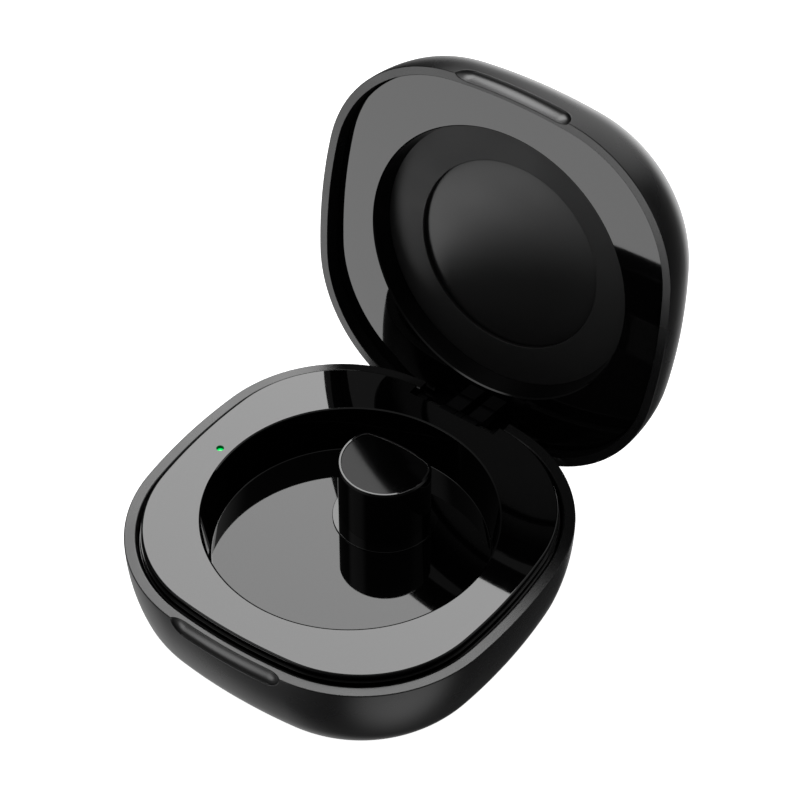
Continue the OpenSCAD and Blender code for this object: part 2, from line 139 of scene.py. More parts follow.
# Status lens: radius, radius of its hole, how deep it is sunk, and its dome as shares and heights
LENS_R, LENS_HOLE_R, LENS_SINK, LENS_FOOT = 0.54, 0.58, 0.5, 1.4
LENS_DOME = ((1, -0.12), (0.98, -0.08), (0.85, -0.02), (0.55, 0.015), (0.2, 0.025))
# Cut-outs of the hinge and of the charging port; a cutter ends at FAR, beyond the case
WINDOW_Y = 25.2
WINDOW_Z = 12.6
LEAF_Y = 27.5
RELIEF_X, RELIEF_H = 9.8, 0.75
USB_Z, USB_W, USB_H, USB_GAP, USB_FROM_Y = 7.1, 8.94, 3.2, 0.3, 20
FAR = 40

BOW = SIDE_R - HALF
ARC_GAP = SIDE_R - CORNER_R
CORNER_C = (math.sqrt(2 * ARC_GAP**2 - BOW**2) - BOW) / 2
SIDE_A = math.atan2(CORNER_C, CORNER_C + BOW)


# ---- mesh helpers ------------------------------------------------------------------------------

def make_object(name, verts, faces, body, material, slot, sharp=35):
    """Mesh object from vertices in mm. Lid pieces are given shut and are turned open here."""
    mesh = bpy.data.meshes.new(name)
    co = np.asarray(verts, float) * MM
    if body == "lid":
        co = moved(co, TO_OPEN)
    mesh.from_pydata([tuple(v) for v in co], [], [tuple(int(i) for i in f) for f in faces])
    mesh.validate()
    obj = bpy.data.objects.new(name, mesh)
    bpy.context.scene.collection.objects.link(obj)
    tidy_normals(obj, sharp)
    mesh.materials.append(material)
    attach(obj, body)
    return obj


def tidy_normals(obj, sharp):
    """Outward faces, smooth shading, and sharp edges where faces meet at a larger angle."""
    bm = bmesh.new()
    bm.from_mesh(obj.data)
    bmesh.ops.remove_doubles(bm, verts=bm.verts, dist=1e-7)
    bmesh.ops.recalc_face_normals(bm, faces=bm.faces)
    bm.to_mesh(obj.data)
    bm.free()
    obj.data.shade_smooth()
    obj.data.set_sharp_from_angle(angle=math.radians(sharp))


def loft(rings, closed=False, cap_start=False, cap_end=False):
    """Quads between rings of equal length. closed joins the last ring to the first one."""
    rings = [np.asarray(r, float) for r in rings]
    n = len(rings[0])
    verts = [p for r in rings for p in r]
    faces = []
    count = len(rings)
    for k in range(count if closed else count - 1):
        a, b = k * n, ((k + 1) % count) * n
        for i in range(n):
            j = (i + 1) % n
            faces.append((a + i, a + j, b + j, b + i))
    for flag, k in ((cap_start, 0), (cap_end, count - 1)):
        if flag:
            centre = len(verts)
            verts.append(rings[k].mean(axis=0))
            faces += [(k * n + i, k * n + (i + 1) % n, centre) for i in range(n)]
    return verts, faces


def columns(front_steps=24, side_steps=24, corner_steps=44):
    """Centre, outward direction and radius at each step round the outside of the case."""
    centres, directions, radii = [], [], []
    for k in range(4):
        turn = k * math.pi / 2
        spin = np.array([[math.cos(turn), -math.sin(turn)], [math.sin(turn), math.cos(turn)]])
        steps = front_steps if k == 2 else side_steps
        arcs = (
            (np.array([CORNER_C, CORNER_C]), CORNER_R, SIDE_A, math.pi / 2 - SIDE_A, corner_steps),
            (np.array([0.0, -BOW]), SIDE_R, math.pi / 2 - SIDE_A, math.pi / 2 + SIDE_A, steps),
        )
        for centre, radius, start, end, count in arcs:
            for a in np.linspace(start, end, count, endpoint=False):
                centres.append(spin @ centre)
                directions.append([math.cos(a + turn), math.sin(a + turn)])
                radii.append(radius)
    return np.array(centres), np.array(directions), np.array(radii)


def ring(cols, inset, z):
    """Points drawn in by inset at height z; both may be one number or one for each column."""
    centres, directions, radii = cols
    xy = centres + (radii - inset)[:, None] * directions
    return np.column_stack([xy, np.broadcast_to(z, len(xy))])


def disc_rings(outer, z, shares):
    """Rings that close a flat face from its outer ring towards the middle."""
    rings = []
    for share in shares:
        r = outer.copy()
        r[:, :2] *= share
        r[:, 2] = z
        rings.append(r)
    return rings


def circle_ring(r, z, n=192):
    """Circle of n points about the middle of the case."""
    a = np.linspace(0, 2 * math.pi, n, endpoint=False)
    return np.column_stack([r * np.cos(a), r * np.sin(a), np.full(n, z)])


def polar_ring(r, z, angles):
    """Circle with one point at each of the angles."""
    return np.column_stack([r * np.cos(angles), r * np.sin(angles), np.full(len(angles), z)])


def fillet(p0, p1, p2, r, steps=5):
    """Round corner of radius r at p1 between the lines to p0 and p2, as (a, b) points."""
    p0, p1, p2 = (np.array(p, float) for p in (p0, p1, p2))
    u, v = (p0 - p1) / np.linalg.norm(p0 - p1), (p2 - p1) / np.linalg.norm(p2 - p1)
    half = math.acos(np.clip(u @ v, -1, 1)) / 2
    t = r / math.tan(half)
    mid = (u + v) / np.linalg.norm(u + v)
    centre = p1 + mid * r / math.sin(half)
    a, b = p1 + u * t, p1 + v * t
    start, end = a - centre, b - centre
    sweep = math.pi - 2 * half
    side = math.copysign(1, start[0] * end[1] - start[1] * end[0])
    out = []
    for k in range(steps + 1):
        ang = side * sweep * k / steps
        c, s = math.cos(ang), math.sin(ang)
        out.append(centre + np.array([start[0] * c - start[1] * s, start[0] * s + start[1] * c]))
    return out


def rounded_section(corners, support=0.02):
    """Open polyline of (a, b) points from (a, b, radius, steps) corners.

    Each fillet has a support point on both sides, so that its shading stays in the fillet.
    """
    points = []
    for k, (a, b, r, steps) in enumerate(corners):
        if r <= 0:
            points.append(np.array([a, b], float))
            continue
        before, after = corners[k - 1], corners[k + 1]
        arc = fillet(before[:2], (a, b), after[:2], r, steps)
        into = np.array(before[:2]) - np.array([a, b])
        out = np.array(after[:2]) - np.array([a, b])
        points.append(arc[0] + support * into / np.linalg.norm(into))
        points += arc
        points.append(arc[-1] + support * out / np.linalg.norm(out))
    return points


def cut(obj, cutters, sharp):
    """Takes the cutters out of obj with exact booleans, removes them and tidies obj's normals."""
    for cutter in cutters:
        mod = obj.modifiers.new("cut", "BOOLEAN")
        mod.operation = "DIFFERENCE"
        mod.solver = "EXACT"
        mod.object = cutter
    deps = bpy.context.evaluated_depsgraph_get()
    mesh = bpy.data.meshes.new_from_object(obj.evaluated_get(deps))
    obj.modifiers.clear()
    obj.data = mesh
    for cutter in cutters:
        bpy.data.objects.remove(cutter)
    tidy_normals(obj, sharp)


def prism(name, outline, low, high, axis=2, lid=False):
    """Cutter: an outline of (a, b) points extended from low to high along an axis, in mm."""
    n = len(outline)
    verts = []
    for level in (low, high):
        for a, b in outline:
            p = [a, b]
            p.insert(axis, level)
            verts.append(p)
    faces = [tuple(range(n)), tuple(range(2 * n - 1, n - 1, -1))]
    faces += [(i, i + n, (i + 1) % n + n, (i + 1) % n) for i in range(n)]
    co = np.array(verts) * MM
    if lid:
        co = moved(co, TO_OPEN)
    mesh = bpy.data.meshes.new(name)
    mesh.from_pydata([tuple(v) for v in co], [], faces)
    obj = bpy.data.objects.new(name, mesh)
    bpy.context.scene.collection.objects.link(obj)
    bm = bmesh.new()
    bm.from_mesh(mesh)
    bmesh.ops.recalc_face_normals(bm, faces=bm.faces)
    bm.to_mesh(mesh)
    bm.free()
    return obj


def box_outline(a0, a1, b0, b1):
    """Outline of a box for prism."""
    return [(a0, b0), (a1, b0), (a1, b1), (a0, b1)]


def rounded_box_outline(half_a, half_b, b_mid, r, steps=12):
    """Outline of a box about (0, b_mid) with corners of radius r, for prism."""
    out = []
    for ca, cb, start in ((half_a - r, half_b - r, 0), (r - half_a, half_b - r, 90),
                          (r - half_a, r - half_b, 180), (half_a - r, r - half_b, 270)):
        for k in range(steps + 1):
            t = math.radians(start + 90 * k / steps)
            out.append((ca + r * math.cos(t), b_mid + cb + r * math.sin(t)))
    return out


# ---- materials ---------------------------------------------------------------------------------

CLOUD_LOW, CLOUD_HIGH = 0.3, 0.7  # range of a noise texture's values that is used
CLOUD_SCALE, CLOUD_SHADE = 90, 0.06
BUMP_DEPTH = 0.02 * MM
MAP_VALUE, MAP_FROM_LOW, MAP_FROM_HIGH, MAP_TO_LOW, MAP_TO_HIGH = 6, 7, 8, 9, 10  # vector sockets


def new_material(name, colour, rough, vary, metal=0.0, spec=0.5, grain=0.0, grain_scale=4000,
                 glow=None, glow_strength=1.0):
    """Principled material: a fine cloud varies its roughness and shade, and grain is a fine bump."""
    mat = bpy.data.materials.new(name)
    mat.use_nodes = True
    nodes, links = mat.node_tree.nodes, mat.node_tree.links
    shader = nodes["Principled BSDF"]
    shader.inputs["Metallic"].default_value = metal
    shader.inputs["IOR"].default_value = 1.5
    shader.inputs["Specular IOR Level"].default_value = spec
    coords = nodes.new("ShaderNodeTexCoord")
    cloud = nodes.new("ShaderNodeTexNoise")
    cloud.inputs["Scale"].default_value = CLOUD_SCALE
    cloud.inputs["Detail"].default_value = 4
    links.new(coords.outputs["Object"], cloud.inputs["Vector"])
    spread = nodes.new("ShaderNodeMapRange")
    spread.inputs["From Min"].default_value = CLOUD_LOW
    spread.inputs["From Max"].default_value = CLOUD_HIGH
    spread.inputs["To Min"].default_value = rough - vary
    spread.inputs["To Max"].default_value = rough + vary
    links.new(cloud.outputs["Fac"], spread.inputs["Value"])
    links.new(spread.outputs["Result"], shader.inputs["Roughness"])
    tint = nodes.new("ShaderNodeMapRange")
    tint.data_type = "FLOAT_VECTOR"
    tint.inputs[MAP_FROM_LOW].default_value = (CLOUD_LOW,) * 3
    tint.inputs[MAP_FROM_HIGH].default_value = (CLOUD_HIGH,) * 3
    tint.inputs[MAP_TO_LOW].default_value = tuple(c * (1 - CLOUD_SHADE) for c in colour)
    tint.inputs[MAP_TO_HIGH].default_value = tuple(c * (1 + CLOUD_SHADE) for c in colour)
    links.new(cloud.outputs["Fac"], tint.inputs[MAP_VALUE])
    links.new(tint.outputs[1], shader.inputs["Base Color"])
    if grain:
        bumps = nodes.new("ShaderNodeTexNoise")
        bumps.inputs["Scale"].default_value = grain_scale
        bumps.inputs["Detail"].default_value = 3
        links.new(coords.outputs["Object"], bumps.inputs["Vector"])
        bump = nodes.new("ShaderNodeBump")
        bump.inputs["Strength"].default_value = grain
        bump.inputs["Distance"].default_value = BUMP_DEPTH
        links.new(bumps.outputs["Fac"], bump.inputs["Height"])
        links.new(bump.outputs["Normal"], shader.inputs["Normal"])
    if glow:
        shader.inputs["Emission Color"].default_value = (*glow, 1)
        shader.inputs["Emission Strength"].default_value = glow_strength
    return mat


POLISHED = (0.0012, 0.0012, 0.0013)
LOOKS = {
    "soft_touch": dict(colour=(0.004, 0.004, 0.0042), rough=0.28, vary=0.02, grain=0.12),
    "gloss_black": dict(colour=POLISHED, rough=0.03, vary=0.008),
    "floor_black": dict(colour=POLISHED, rough=0.03, vary=0.008, spec=0.36),
    "cap_black": dict(colour=POLISHED, rough=0.06, vary=0.01, spec=0.1),
    "lining": dict(colour=(0.01, 0.01, 0.0102), rough=0.5, vary=0.03, grain=0.1),
    "pad": dict(colour=(0.009, 0.009, 0.0092), rough=0.34, vary=0.02, grain=0.25, grain_scale=2600),
    "lens": dict(colour=(0.02, 0.3, 0.08), rough=0.12, vary=0.02, glow=(0.0, 0.8, 0.12), glow_strength=1.2),
    "led": dict(colour=(0.9, 0.9, 0.8), rough=0.4, vary=0.03),
    "board": dict(colour=(0.01, 0.1, 0.045), rough=0.35, vary=0.05),
    "chip": dict(colour=(0.03, 0.03, 0.033), rough=0.55, vary=0.05, grain=0.2),
    "cell": dict(colour=(0.7, 0.71, 0.74), rough=0.3, metal=1.0, vary=0.06),
    "foam": dict(colour=(0.03, 0.03, 0.03), rough=0.9, vary=0.05, grain=0.8, grain_scale=1500),
    "copper": dict(colour=(0.72, 0.3, 0.13), rough=0.3, metal=1.0, vary=0.05),
    "ferrite": dict(colour=(0.06, 0.06, 0.065), rough=0.6, vary=0.05, grain=0.4),
    "flex": dict(colour=(0.5, 0.2, 0.03), rough=0.3, vary=0.04),
    "steel": dict(colour=(0.55, 0.56, 0.58), rough=0.28, metal=1.0, vary=0.05, grain=0.1),
    "magnet": dict(colour=(0.7, 0.7, 0.71), rough=0.12, metal=1.0, vary=0.03),
    "hinge_metal": dict(colour=(0.01, 0.01, 0.011), rough=0.35, metal=0.6, vary=0.05, grain=0.2),
    "nylon": dict(colour=(0.02, 0.02, 0.02), rough=0.5, vary=0.04),
}
MATERIALS = {name: new_material(name, **look) for name, look in LOOKS.items()}


# ---- shells ------------------------------------------------------------------------------------

def wall_section(h, side, heel, wall=0.0, wall_steps=16, heel_steps=22):
    """(inset, height) of a bowl of depth h from its rim down to its flat, drawn in by wall."""
    turn = math.asin((h - heel) / (side - heel))
    rows = []
    for a in np.linspace(0, turn, wall_steps, endpoint=False):
        rows.append((side - (side - wall) * math.cos(a), h - (side - wall) * math.sin(a)))
    c_in = side - (side - heel) * math.cos(turn)
    c_z = h - (side - heel) * math.sin(turn)
    for a in np.linspace(turn, math.pi / 2, heel_steps):
        rows.append((c_in - (heel - wall) * math.cos(a), c_z - (heel - wall) * math.sin(a)))
    return rows


def wall_inset(depth_below_rim, side):
    """How far the side arc has drawn in at a depth below the rim."""
    return side - np.sqrt(side**2 - depth_below_rim**2)


def groove_depth(cols, dz):
    """Depth of the thumb scoop at dz from the seam, for each column: steep at its edge."""
    centres, directions, radii = cols
    xy = centres + radii[:, None] * directions
    over = np.maximum(np.abs(xy[:, 0]) - (NOTCH_HALF - NOTCH_H), 0)
    share = np.maximum(1 - (over**2 + dz**2) / NOTCH_H**2, 0)
    return np.where(xy[:, 1] < 0, NOTCH_D * share**NOTCH_POWER, 0)


def shell_rings(cols, h, side, heel, wall, rim_round, inner_round):
    """Rings of a filled-in bowl with its rim at z = 0 and its body below, outside first."""
    section = wall_section(h, side, heel)
    bottom = [s for s in section if h - s[1] > FINE_DEPTH]
    rings = [ring(cols, inset, z - h) for inset, z in reversed(bottom)]
    rings = disc_rings(rings[0], -h, DISC_SHARES[::-1]) + rings

    def inset_at(depth):
        return wall_inset(depth, side) + groove_depth(cols, depth)

    for depth in reversed([d for d in FINE_LEVELS if d > rim_round]):
        rings.append(ring(cols, inset_at(depth), -depth))
    edge = inset_at(rim_round)
    for k in range(RIM_STEPS + 1):
        a = math.pi / 2 * k / RIM_STEPS
        inset = edge + rim_round * (1 - math.cos(a))
        rings.append(ring(cols, inset, -rim_round + rim_round * math.sin(a)))
    rings.append(ring(cols, edge + rim_round + EDGE_SUPPORT, 0))
    inner = wall - inner_round
    rings.append(ring(cols, np.maximum(inner - EDGE_SUPPORT, edge + rim_round + RIM_FLAT), 0))
    lip = np.maximum(inner, edge + rim_round + RIM_LIP)
    for k in range(INNER_STEPS + 1):
        a = math.pi / 2 * k / INNER_STEPS
        inset = lip + (wall - lip) * math.sin(a)
        rings.append(ring(cols, inset, -inner_round + inner_round * math.cos(a)))
    inside = wall_section(h, side, heel, wall)
    for inset, z in inside:
        if h - z > inner_round + 0.2:
            rings.append(ring(cols, inset, z - h))
    floor_z = inside[-1][1] - h
    rings += disc_rings(rings[-1], floor_z, DISC_SHARES)
    return rings


def build_base_shell():
    """Soft-touch bowl with the openings of the hinge and of the charging port."""
    cols = columns(front_steps=SHELL_FRONT_STEPS)
    rings = shell_rings(cols, RIM_Z, BASE_SIDE_R, BASE_HEEL_R, BASE_WALL, BASE_RIM_R, BASE_INNER_R)
    rings = [r + [0, 0, RIM_Z] for r in rings]
    obj = make_object("base_shell_skin", *loft(rings), "base", MATERIALS["soft_touch"], "soft_touch",
                      sharp=50)
    window_box = box_outline(-WINDOW_X, WINDOW_X, WINDOW_Y, FAR)
    usb_half_h = USB_H / 2 + USB_GAP
    usb_hole = rounded_box_outline(USB_W / 2 + USB_GAP, usb_half_h, USB_Z, usb_half_h)
    cut(obj, [
        prism("cut_window", window_box, WINDOW_Z, RIM_Z + 5),
        prism("cut_usb", usb_hole, USB_FROM_Y, FAR, axis=1),
    ], sharp=50)
    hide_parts("base_shell")


def edge_y(x):
    """Half depth of the case at x from its middle."""
    if x < SIDE_R * math.sin(SIDE_A):
        return math.sqrt(SIDE_R**2 - x**2) - BOW
    return CORNER_C + math.sqrt(CORNER_R**2 - (x - CORNER_C) ** 2)


def swing_barrel(gap=0.2, steps=16):
    """Cutter: the barrel about the hinge axis that clears the base's rim as the lid swings."""
    hinge_y, hinge_z = hinge_at.y / MM, hinge_at.z / MM
    end = CORNER_C + math.sqrt(CORNER_R**2 - (hinge_y - CORNER_C) ** 2)
    rings = []
    for x in np.linspace(-end, end, 2 * steps + 1):
        r = math.hypot(max(edge_y(abs(x)) - hinge_y, 0), RIM_Z - hinge_z) + gap
        c = circle_ring(r, 0, 96)
        rings.append(np.column_stack([np.full(len(c), x), c[:, 0] + hinge_y, c[:, 1] + hinge_z]))
    verts, faces = loft(rings, cap_start=True, cap_end=True)
    obj = make_object("cut_swing", verts, faces, "lid", MATERIALS["lining"], None)
    obj.parent = None
    return obj


def build_lid_shell():
    """Soft-touch lid with the openings of the hinge and the relief that clears the base's rim."""
    cols = columns(front_steps=SHELL_FRONT_STEPS)
    h = LID_TOP - LID_Z
    rings = shell_rings(cols, h, LID_SIDE_R, LID_HEEL_R, LID_WALL, LID_RIM_R, LID_INNER_R)
    rings = [r * [1, 1, -1] + [0, 0, LID_Z] for r in rings]
    obj = make_object("lid_shell_skin", *loft(rings), "lid", MATERIALS["soft_touch"], "soft_touch",
                      sharp=50)
    relief_box = box_outline(-RELIEF_X, RELIEF_X, WINDOW_Y, FAR)
    leaf_box = box_outline(-WINDOW_X, WINDOW_X, WINDOW_Y, LEAF_Y)
    cut(obj, [
        swing_barrel(),
        prism("cut_relief", relief_box, LID_Z - 2, LID_Z + RELIEF_H, lid=True),
        prism("cut_leaf", leaf_box, LID_Z - 2, PANEL_BACK + 0.5, lid=True),
    ], sharp=50)
    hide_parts("lid_shell")


# ---- base pieces -------------------------------------------------------------------------------

def build_tray():
    """Raised deck, its side wall and foot, and the wall of the well, as one closed moulding."""
    cols = columns()
    foot_in, step_in, step_z = BASE_WALL + 0.25, DECK_IN - 0.22, RIM_Z + 0.12
    skirt_z, ledge_z = RIM_Z - 0.8, RIM_Z - 2.0
    outer = rounded_section([
        (foot_in + 0.9, ledge_z, 0, 0), (foot_in, ledge_z, 0.1, 2), (foot_in, skirt_z, 0.04, 2),
        (step_in, skirt_z, 0.04, 2), (step_in, step_z, 0.05, 3), (DECK_IN, step_z, 0.04, 2),
        (DECK_IN, DECK_Z, 0.28, 8), (DECK_IN + 1, DECK_Z, 0, 0)], support=EDGE_SUPPORT)
    rings = [ring(cols, a, z) for a, z in outer]
    angles = np.arctan2(rings[-1][:, 1], rings[-1][:, 0])
    lean = (WELL_R - WELL_FLOOR_R) / (DECK_Z - FLOOR_Z)
    meet_z = FLOOR_Z + PROUD
    inner = rounded_section([
        (WELL_R + 1, DECK_Z, 0, 0), (WELL_R + 0.25, DECK_Z, 0.03, 2), (WELL_R, DECK_Z - 0.1, 0.03, 2),
        (WELL_FLOOR_R, meet_z, WELL_TOE, 6), (WELL_FLOOR_R - WELL_TOE - 0.05, meet_z, 0, 0)])
    under_ledge = WELL_FLOOR_R - 1.5
    inner += [
        (WELL_FLOOR_R, FLOOR_Z - 0.01), (WELL_FLOOR_R, FLOOR_Z - FLOOR_T),
        (under_ledge, FLOOR_Z - FLOOR_T), (under_ledge, WELL_FOOT_Z),
        (WELL_FLOOR_R + TRAY_WALL, WELL_FOOT_Z), (WELL_R + TRAY_WALL - lean * DECK_T, DECK_Z - DECK_T)]
    rings += [polar_ring(r, z, angles) for r, z in inner]
    rings.append(ring(cols, foot_in + 2.2, DECK_Z - DECK_T))
    rings.append(ring(cols, foot_in + 2.2, ledge_z + 0.4))
    obj = make_object("cradle_tray_skin", *loft(rings, closed=True), "base", MATERIALS["gloss_black"],
                      "gloss_black", sharp=40)
    lens_hole = [(LENS_X + p[0], LENS_Y + p[1]) for p in circle_ring(LENS_HOLE_R, 0, 48)]
    cut(obj, [
        prism("cut_hinge", box_outline(-WINDOW_X, WINDOW_X, WINDOW_Y, FAR), ledge_z - 1, DECK_Z + 5),
        prism("cut_lens", lens_hole, DECK_Z - 0.9, DECK_Z + 3),
    ], sharp=40)
    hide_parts("cradle_tray")


def d_outline(grow, n_front=96, n_corner=14, n_back=24):
    """The D outline of the post about its centre: a round front and a bowed back."""
    r, small, back = POST_R + grow, POST_CORNER_R + grow, POST_BACK_R + grow
    drop = POST_BACK_R - POST_BACK
    da, db = POST_R - POST_CORNER_R, POST_BACK_R - POST_CORNER_R
    qy = (db * db - da * da - drop * drop) / (2 * drop)
    qx = math.sqrt(da * da - qy * qy)
    a1, a2 = math.atan2(qy, qx), math.atan2(qy + drop, qx)
    out = []
    for cx, cy, rad, start, end, count in (
            (0, 0, r, -math.pi - a1, a1, n_front), (qx, qy, small, a1, a2, n_corner),
            (0, -drop, back, a2, math.pi - a2, n_back),
            (-qx, qy, small, math.pi - a2, math.pi - a1, n_corner)):
        for t in np.linspace(start, end, count, endpoint=False):
            out.append((cx + rad * math.cos(t), POST_Y + cy + rad * math.sin(t)))
    return np.array(out)


def post_ring(grow, z):
    """The post's outline, drawn out by grow, at height z."""
    xy = d_outline(grow)
    return np.column_stack([xy, np.full(len(xy), z)])


def build_post():
    """Post with a filleted flange at its foot and a chamfered ring round its top."""
    foot_z, meet_z, flange_z = FLOOR_Z - POST_FOOT_T, FLOOR_Z + PROUD, FLOOR_Z + POST_FLANGE_H
    seat_z = POST_TOP - CAP_T
    section = rounded_section([
        (POST_NECK, foot_z, 0, 0), (POST_NECK, meet_z, 0, 0), (POST_FLANGE, meet_z, 0, 0),
        (POST_FLANGE, flange_z, 0.08, 4), (0, flange_z, 0, 0), (0, POST_TOP - 0.32, 0.05, 2),
        (-0.2, POST_TOP, 0.08, 3), (-CAP_IN, POST_TOP, 0.05, 2), (-CAP_IN, seat_z, 0, 0),
        (POST_SEAT, seat_z, 0, 0), (POST_SEAT, foot_z, 0, 0)])
    rings = [post_ring(g, z) for g, z in section]
    obj = make_object("charging_post_skin", *loft(rings, closed=True), "base", MATERIALS["gloss_black"],
                      "gloss_black", sharp=40)
    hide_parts("charging_post")


def build_cap():
    """Cap of the post: a shallow polished dish, lowest a little in front of its middle."""
    edge = post_ring(-CAP_IN - CAP_GAP, POST_TOP - CAP_SINK)
    middle = np.array([0, POST_Y - 0.6])
    top = []
    for share in np.linspace(1, 0.02, 22):
        r = edge.copy()
        r[:, :2] = middle + (edge[:, :2] - middle) * share
        r[:, 2] = POST_TOP - CAP_SINK - CAP_DISH * (1 - share**2)
        top.append(r)
    low = post_ring(-CAP_IN - CAP_GAP, POST_TOP - CAP_T)
    verts, faces = loft([low, edge + [0, 0, -0.02]] + top, cap_start=True, cap_end=True)
    obj = make_object("post_cap_skin", verts, faces, "base", MATERIALS["cap_black"], "gloss_black",
                      sharp=40)
    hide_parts("post_cap")


def build_well_floor():
    """Polished floor of the well, with a hole for the post's neck."""
    angles = np.linspace(0, 2 * math.pi, 192, endpoint=False)
    hole = d_outline(POST_NECK + 0.02)
    hole_a = np.arctan2(hole[:, 1] - POST_Y, hole[:, 0])
    order = np.argsort(hole_a)
    turns = np.unwrap(hole_a[order])
    xs = np.interp(angles, turns, hole[order, 0], period=2 * math.pi)
    ys = np.interp(angles, turns, hole[order, 1], period=2 * math.pi)
    rings = [polar_ring(FLOOR_R, FLOOR_Z - FLOOR_T, angles), polar_ring(FLOOR_R, FLOOR_Z - 0.02, angles),
             polar_ring(FLOOR_R - 0.02, FLOOR_Z, angles)]
    inner_top = np.column_stack([xs, ys, np.full(len(angles), FLOOR_Z)])
    rings += [inner_top, inner_top - [0, 0, FLOOR_T]]
    obj = make_object("well_floor_skin", *loft(rings, closed=True), "base", MATERIALS["floor_black"],
                      "gloss_black", sharp=30)
    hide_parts("well_floor")


def build_lens():
    """Status light: a small domed light pipe sunk in the deck."""
    top = DECK_Z - LENS_SINK
    rows = [(LENS_R, DECK_Z - LENS_FOOT)] + [(LENS_R * share, top + dz) for share, dz in LENS_DOME]
    rings = [circle_ring(a, z, 40) + [LENS_X, LENS_Y, 0] for a, z in rows]
    verts, faces = loft(rings, cap_start=True, cap_end=True)
    obj = make_object("status_lens_skin", verts, faces, "base", MATERIALS["lens"], "lens", sharp=60)
    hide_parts("status_lens")


# ---- lid pieces --------------------------------------------------------------------------------

def build_panel():
    """Polished panel of the lid with its round opening, whose skirt lines the wall of the recess."""
    cols = columns()
    outer = rounded_section([
        (PANEL_IN + 0.5, PANEL_BACK, 0, 0), (PANEL_IN, PANEL_BACK, 0, 0),
        (PANEL_IN, PANEL_Z + PANEL_CHAMFER, 0.03, 2), (PANEL_IN + PANEL_CHAMFER, PANEL_Z, 0.03, 2),
        (PANEL_IN + 1, PANEL_Z, 0, 0)])
    rings = [ring(cols, a, z) for a, z in outer]
    angles = np.arctan2(rings[-1][:, 1], rings[-1][:, 0])
    skirt_z = PANEL_Z + RECESS_D - SKIRT_GAP
    inner = rounded_section([
        (RECESS_R + 1, PANEL_Z, 0, 0), (RECESS_R + OPENING_CHAMFER, PANEL_Z, 0.03, 2),
        (RECESS_R, PANEL_Z + OPENING_CHAMFER, 0.03, 2), (RECESS_FOOT_R + 0.03, skirt_z, 0, 0),
        (RECESS_FOOT_R + 0.5, skirt_z, 0, 0), (RECESS_R + 0.6, PANEL_BACK, 0, 0),
        (RECESS_R + 1, PANEL_BACK, 0, 0)])
    rings += [polar_ring(r, z, angles) for r, z in inner]
    obj = make_object("lid_panel_skin", *loft(rings, closed=True), "lid", MATERIALS["gloss_black"],
                      "gloss_black", sharp=40)
    leaf_box = box_outline(-WINDOW_X, WINDOW_X, WINDOW_Y, FAR)
    cut(obj, [prism("cut_leaf", leaf_box, PANEL_Z - 2, PANEL_BACK + 2, lid=True)], sharp=40)
    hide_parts("lid_panel")


def build_recess():
    """Ring floor of the round recess, and what is behind the panel's skirt."""
    floor_z = PANEL_Z + RECESS_D
    back_z = min(DISH_Z + 0.35, recess[:, 2].max())
    top_z = PANEL_BACK + 0.01
    section = rounded_section([
        (RECESS_R + 0.62, top_z, 0, 0), (RECESS_FOOT_R + 0.52, floor_z, 0, 0),
        (DISH_R, floor_z, 0.12, 4), (DISH_R, back_z, 0, 0), (RECESS_R + 1, back_z, 0, 0),
        (RECESS_R + 1, top_z, 0, 0)], support=EDGE_SUPPORT)
    rings = [circle_ring(r, z) for r, z in section]
    obj = make_object("lid_recess_skin", *loft(rings, closed=True), "lid", MATERIALS["lining"],
                      "lining", sharp=40)
    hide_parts("lid_recess")


def build_pad():
    """Soft pad behind the ring: slightly crowned, with its edge sunk below the ring floor."""
    edge_z = PANEL_Z + RECESS_D + PAD_EDGE
    rings = [circle_ring(DISH_R + 1.4, PAD_BACK), circle_ring(DISH_R + 1.4, DISH_Z + 0.02),
             circle_ring(DISH_R + 0.3, edge_z + 0.05)]
    for share in np.linspace(1, 0.02, 26):
        bulge = PAD_CROWN * (1 - share**2.5) ** 0.8
        rings.append(circle_ring((DISH_R - 0.03) * share, edge_z - bulge))
    verts, faces = loft(rings, cap_start=True, cap_end=True)
    obj = make_object("lid_pad_skin", verts, faces, "lid", MATERIALS["pad"], "pad", sharp=60)
    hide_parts("lid_pad")


def dress_cad_nodes():
    """Materials of the CAD nodes that stay."""
    slots = {p["node"]: p["material_slot"] for p in frame["record"]["subparts"]}
    for name, obj in frame["nodes"].items():
        obj.data.materials.clear()
        obj.data.materials.append(MATERIALS[slots[name]])
        for poly in obj.data.polygons:
            poly.material_index = 0


# ---- stage -------------------------------------------------------------------------------------

def direction(azimuth, elevation):
    """Unit vector towards a direction in degrees: azimuth 0 is the front, 90 the right."""
    a, e = math.radians(azimuth), math.radians(elevation)
    return (math.sin(a) * math.cos(e), -math.cos(a) * math.cos(e), math.sin(e))


def build_stage():
    """White floor, left out of the reflections."""
    size = 3.0
    verts = [(-size, -size, 0), (size, -size, 0), (size, size, 0), (-size, size, 0)]
    mesh = bpy.data.meshes.new("floor")
    mesh.from_pydata(verts, [], [(0, 1, 2, 3)])
    floor = bpy.data.objects.new("floor", mesh)
    bpy.context.scene.collection.objects.link(floor)
    mat = bpy.data.materials.new("floor_white")
    mat.use_nodes = True
    shader = mat.node_tree.nodes["Principled BSDF"]
    shader.inputs["Base Color"].default_value = (0.9, 0.9, 0.9, 1)
    shader.inputs["Emission Color"].default_value = (1, 1, 1, 1)
    shader.inputs["Emission Strength"].default_value = 1.0
    shader.inputs["Roughness"].default_value = 0.9
    shader.inputs["Specular IOR Level"].default_value = 0.1
    mesh.materials.append(mat)
    floor.visible_glossy = False


